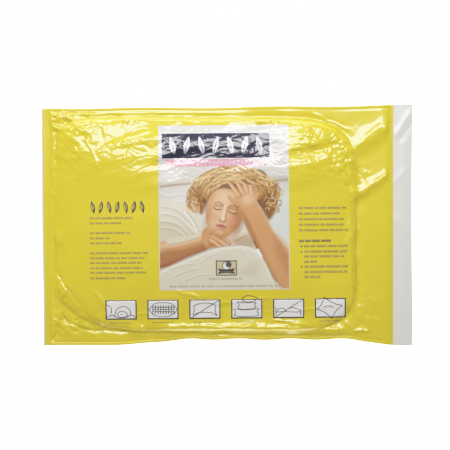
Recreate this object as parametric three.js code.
// A bed pillow in its vacuum bag, lying on its back: two webs of film fused round the edges, an unprinted
// tail past the closing seal, and inside them a sewn casing filled with three batts of polyester fibre.
// Millimetres, +Z up, +X towards the tail, +Y towards the upper long edge, origin on the resting face
// under the middle of the bag.
import * as THREE from "three";

// The bag, measured flat at its corners.
const BAG = { length: 840, width: 544, film: 0.3 };
const END_SEAL = 16; // the factory seal across the left end
const CLOSING_SEAL = 9; // the seal made after the air is drawn out
const EDGE_WELD = 6; // the weld along each long edge
const TAIL = 44; // the loose, unprinted film past the closing seal
const PULL_IN = { upper: 4, lower: 10 }; // how far each long edge is drawn in at its middle
const WAVE = { height: 1.6, length: 260 }; // the slow wave of the flat margins

// The pillow inside, which lies nearer to the end seal than to the tail.
const PILLOW = { length: 684, width: 484, shift: -46, corner: 5 };
const SEAM_HEIGHT = 21; // where the two webs, and the two casing panels, meet
const SHOULDER = { height: 8, power: 24 }; // the steep rise at the pillow's edge
const CROWN = { height: 21.4, power: 2 }; // the slow rise from the shoulder to the middle
const BELLY = { power: 12, flat: 1.06 }; // the underside, flat where the profile passes 1

const GAP = 0.3; // between pieces that touch
const CLOTH = 0.5; // the casing fabric
const FILL_REACH = 0.93; // the batts' size, as a share of the casing's
const FILL_CLEAR = 1.5; // between the batts and the casing
const BATT_SHARES = { lower: [0, 0.3], core: [0.3, 0.72], upper: [0.72, 1] };
const SEAM = { width: 8, thick: 1.6, reach: 0.965 }; // the folded allowance, just inside the pillow's edge
const LABEL = { length: 30, width: 48, thick: 0.5, y: -118 };

// Grid lines from the middle out, as shares of the pillow's half size. Past 1 they cross the flat margin.
const PAD_LINES = [0, 0.25, 0.48, 0.68, 0.82, 0.91, 0.96, 1];
const WEB_LINES = [...PAD_LINES, 1.5, 2];
const BATT_LINES = [0, 0.4, 0.7, 0.86, 0.95, 1];
const BOX_UNDERSIDE = 5; // the group of a BoxGeometry that faces -Z

const YELLOW = 0xe6d72c;
const paint = {
  print: { color: YELLOW, roughness: 0.22 },
  seal: { color: 0xe0d02a, roughness: 0.3 },
  white: { color: 0xe4e3de, roughness: 0.3 },
  cloth: { color: 0xf4f3ee, roughness: 0.9 },
  fibre: { color: 0xfafaf7, roughness: 1 },
  thread: { color: 0xf0efe8, roughness: 0.8 },
  label: { color: 0xf7f7f4, roughness: 0.7 },
};

const pack = new THREE.Group();

function add(name, geometry, look) {
  const mesh = new THREE.Mesh(geometry, new THREE.MeshStandardMaterial(look));
  mesh.name = name;
  pack.add(mesh);
}

const mix = (a, b, share) => a + (b - a) * share;
const waveAt = (x) => WAVE.height * Math.sin((2 * Math.PI * x) / WAVE.length);

// The long edge of the bag at x, on the side of +Y (1) or -Y (-1).
function edgeY(x, side) {
  const share = 1 - (2 * x / BAG.length) ** 2;
  return side * (BAG.width / 2 - (side > 0 ? PULL_IN.upper : PULL_IN.lower) * share);
}

// How far out a point is, from 0 at the pillow's middle to 1 at its edge.
function reachOf(x, y) {
  const across = Math.abs((2 * (x - PILLOW.shift)) / PILLOW.length) ** PILLOW.corner;
  const along = Math.abs((2 * y) / PILLOW.width) ** PILLOW.corner;
  return (across + along) ** (1 / PILLOW.corner);
}

// The casing's outer faces, as heights over the resting face.
function casingTop(x, y) {
  const reach = Math.min(1, reachOf(x, y));
  const shoulder = SHOULDER.height * (1 - reach ** SHOULDER.power);
  const crown = CROWN.height * (1 - reach ** CROWN.power);
  return SEAM_HEIGHT + shoulder + crown;
}

function casingBottom(x, y) {
  const reach = Math.min(1, reachOf(x, y));
  const depth = SEAM_HEIGHT - BAG.film - GAP;
  return SEAM_HEIGHT - depth * Math.min(1, BELLY.flat * (1 - reach ** BELLY.power));
}

const frontCloth = (x, y) => Math.max(casingTop(x, y), SEAM_HEIGHT + GAP / 2 + CLOTH);
const backCloth = (x, y) => Math.min(casingBottom(x, y), SEAM_HEIGHT - GAP / 2 - CLOTH);

// A point of the square grid, from -1 to 1 each way, put inside the pillow's rounded outline.
function inPillow(s, t, size = 1) {
  const out = Math.max(Math.abs(s), Math.abs(t));
  if (out === 0) return [PILLOW.shift, 0];
  const [along, across] = [s / out, t / out];
  const squareness = Math.abs(along) ** PILLOW.corner + Math.abs(across) ** PILLOW.corner;
  const stretch = (out * size) / squareness ** (1 / PILLOW.corner);
  return [PILLOW.shift + (stretch * along * PILLOW.length) / 2, (stretch * across * PILLOW.width) / 2];
}

const WEB_LEFT = -BAG.length / 2 + END_SEAL + GAP;
const TAIL_START = BAG.length / 2 - TAIL;
const WEB_RIGHT = TAIL_START - CLOSING_SEAL - GAP;

// The same for the film, whose grid runs on from the pillow's outline to the seals.
const pastOne = (v) => Math.max(0, Math.abs(v) - 1);
const withinOne = (v) => Math.max(-1, Math.min(1, v));

function inWeb(s, t) {
  const inner = inPillow(withinOne(s), withinOne(t));
  const side = Math.sign(t);
  const x = mix(inner[0], s < 0 ? WEB_LEFT : WEB_RIGHT, pastOne(s));
  const y = mix(inner[1], edgeY(x, side) - side * (EDGE_WELD + GAP), pastOne(t));
  return [x, y];
}

// Turns the diagonals of a box's underside, so that it folds along the same lines as the top.
function turnDiagonals(box) {
  const { start, count } = box.groups[BOX_UNDERSIDE];
  const index = box.index.array;
  for (let i = start; i < start + count; i += 6) {
    const [a, b, d, , c] = index.slice(i, i + 6);
    index.set([a, b, c, a, c, d], i);
  }
}

// A closed sheet: a box divided along the given lines, with its faces moved to two heights.
function sheet(lines, place, upper, lower) {
  const count = lines.length - 1;
  const box = new THREE.BoxGeometry(2, 2, 2, 2 * count, 2 * count, 1);
  turnDiagonals(box);
  const corners = box.attributes.position;
  const line = (v) => Math.sign(v) * lines[Math.round(Math.abs(v) * count)];
  for (let i = 0; i < corners.count; i++) {
    const [s, t] = [line(corners.getX(i)), line(corners.getY(i))];
    const [x, y] = place(s, t);
    const height = corners.getZ(i) > 0 ? upper : lower;
    corners.setXYZ(i, x, y, height(x, y, Math.max(Math.abs(s), Math.abs(t))));
  }
  return box;
}

// The film webs. Past the pillow they close up until they are fused at the seals.
const webHeight = (x, inner, fusedHeight, share) => mix(inner, fusedHeight + waveAt(x), share);
const frontUnder = (x, y, out) =>
  webHeight(x, frontCloth(x, y) + GAP, SEAM_HEIGHT + GAP / 2, pastOne(out));
const backOver = (x, y, out) =>
  webHeight(x, backCloth(x, y) - GAP, SEAM_HEIGHT - GAP / 2, pastOne(out));
add(
  "bag_front_film",
  sheet(WEB_LINES, inWeb, (...at) => frontUnder(...at) + BAG.film, frontUnder),
  paint.print,
);
add(
  "bag_back_film",
  sheet(WEB_LINES, inWeb, backOver, (...at) => backOver(...at) - BAG.film),
  paint.print,
);

// A flat strip of film between two x positions and two long edges, following the wave of the margin.
function strip(left, right, low, high, bottom, top, pieces) {
  const box = new THREE.BoxGeometry(1, 1, 1, pieces, 4, 1);
  turnDiagonals(box);
  const corners = box.attributes.position;
  for (let i = 0; i < corners.count; i++) {
    const x = mix(left, right, corners.getX(i) + 0.5);
    const y = mix(low(x), high(x), corners.getY(i) + 0.5);
    const z = SEAM_HEIGHT + waveAt(x) + (corners.getZ(i) > 0 ? top : bottom);
    corners.setXYZ(i, x, y, z);
  }
  return box;
}

const upperEdge = (x) => edgeY(x, 1);
const lowerEdge = (x) => edgeY(x, -1);
const fused = BAG.film; // half the thickness of the two webs fused together
add(
  "bag_end_seal",
  strip(-BAG.length / 2, -BAG.length / 2 + END_SEAL, lowerEdge, upperEdge, -fused, fused, 1),
  paint.seal,
);
add(
  "bag_closing_seal",
  strip(WEB_RIGHT + GAP, TAIL_START - GAP, lowerEdge, upperEdge, -fused, fused, 1),
  paint.seal,
);
add(
  "bag_upper_edge_weld",
  strip(WEB_LEFT, WEB_RIGHT, (x) => upperEdge(x) - EDGE_WELD, upperEdge, -fused, fused, 14),
  paint.seal,
);
add(
  "bag_lower_edge_weld",
  strip(WEB_LEFT, WEB_RIGHT, lowerEdge, (x) => lowerEdge(x) + EDGE_WELD, -fused, fused, 14),
  paint.seal,
);
add(
  "tail_front_film",
  strip(TAIL_START, BAG.length / 2, lowerEdge, upperEdge, GAP / 2, GAP / 2 + BAG.film, 3),
  paint.white,
);
add(
  "tail_back_film",
  strip(TAIL_START, BAG.length / 2, lowerEdge, upperEdge, -GAP / 2 - BAG.film, -GAP / 2, 3),
  paint.white,
);

// The casing: two panels of woven cloth, dished towards each other and sewn together round the edge.
const frontLining = (x, y) => Math.max(casingTop(x, y) - CLOTH, SEAM_HEIGHT + GAP / 2);
const backLining = (x, y) => Math.min(casingBottom(x, y) + CLOTH, SEAM_HEIGHT - GAP / 2);
add("casing_front_panel", sheet(PAD_LINES, inPillow, frontCloth, frontLining), paint.cloth);
add("casing_back_panel", sheet(PAD_LINES, inPillow, backLining, backCloth), paint.cloth);

// The fill: one carded fleece folded into three batts.
const fillHeight = (x, y, share) =>
  mix(casingBottom(x, y) + CLOTH + FILL_CLEAR, casingTop(x, y) - CLOTH - FILL_CLEAR, share);
for (const [name, [from, to]] of Object.entries(BATT_SHARES)) {
  const upper = (x, y) => fillHeight(x, y, to) - GAP / 2;
  const lower = (x, y) => fillHeight(x, y, from) + GAP / 2;
  const place = (s, t) => inPillow(s, t, FILL_REACH);
  add(`fill_${name}_batt`, sheet(BATT_LINES, place, upper, lower), paint.fibre);
}

// The seam allowance inside the casing: overlocked on three sides, lockstitched on the fourth once filled.
function seamPath(stops) {
  const points = stops.map(([s, t]) => {
    const [x, y] = inPillow(s, t, SEAM.reach);
    return new THREE.Vector3(x, y, SEAM_HEIGHT);
  });
  return new THREE.CatmullRomCurve3(points);
}

function seam(stops, steps) {
  const section = new THREE.Shape();
  section.moveTo(-SEAM.thick / 2, -SEAM.width / 2);
  section.lineTo(SEAM.thick / 2, -SEAM.width / 2);
  section.lineTo(SEAM.thick / 2, SEAM.width / 2);
  section.lineTo(-SEAM.thick / 2, SEAM.width / 2);
  return new THREE.ExtrudeGeometry(section, { steps, extrudePath: seamPath(stops) });
}

const along = [-0.9, -0.5, 0, 0.5, 0.9];
const OVERLOCK_STOPS = [
  [0.94, 1],
  ...[...along].reverse().map((s) => [s, 1]),
  [-1, 1],
  ...[...along].reverse().map((t) => [-1, t]),
  [-1, -1],
  ...along.map((s) => [s, -1]),
  [0.94, -1],
];
add("overlock_seam", seam(OVERLOCK_STOPS, 48), paint.thread);
add("closing_stitch_seam", seam([[1, -0.96], ...along.map((t) => [1, t]), [1, 0.96]], 16), paint.thread);

// The care label, caught in the closing seam and pressed flat between the webs, along the way they close up.
const PILLOW_RIGHT = PILLOW.shift + PILLOW.length / 2;
const label = new THREE.BoxGeometry(LABEL.length, LABEL.width, LABEL.thick, 3, 1, 1);
label.translate(PILLOW_RIGHT + GAP + LABEL.length / 2, LABEL.y, SEAM_HEIGHT);
const labelCorners = label.attributes.position;
for (let i = 0; i < labelCorners.count; i++) {
  const x = labelCorners.getX(i);
  const share = (x - PILLOW_RIGHT) / (WEB_RIGHT - PILLOW_RIGHT);
  labelCorners.setZ(i, labelCorners.getZ(i) + waveAt(x) * share);
}
add("care_label", label, paint.label);

export default pack;
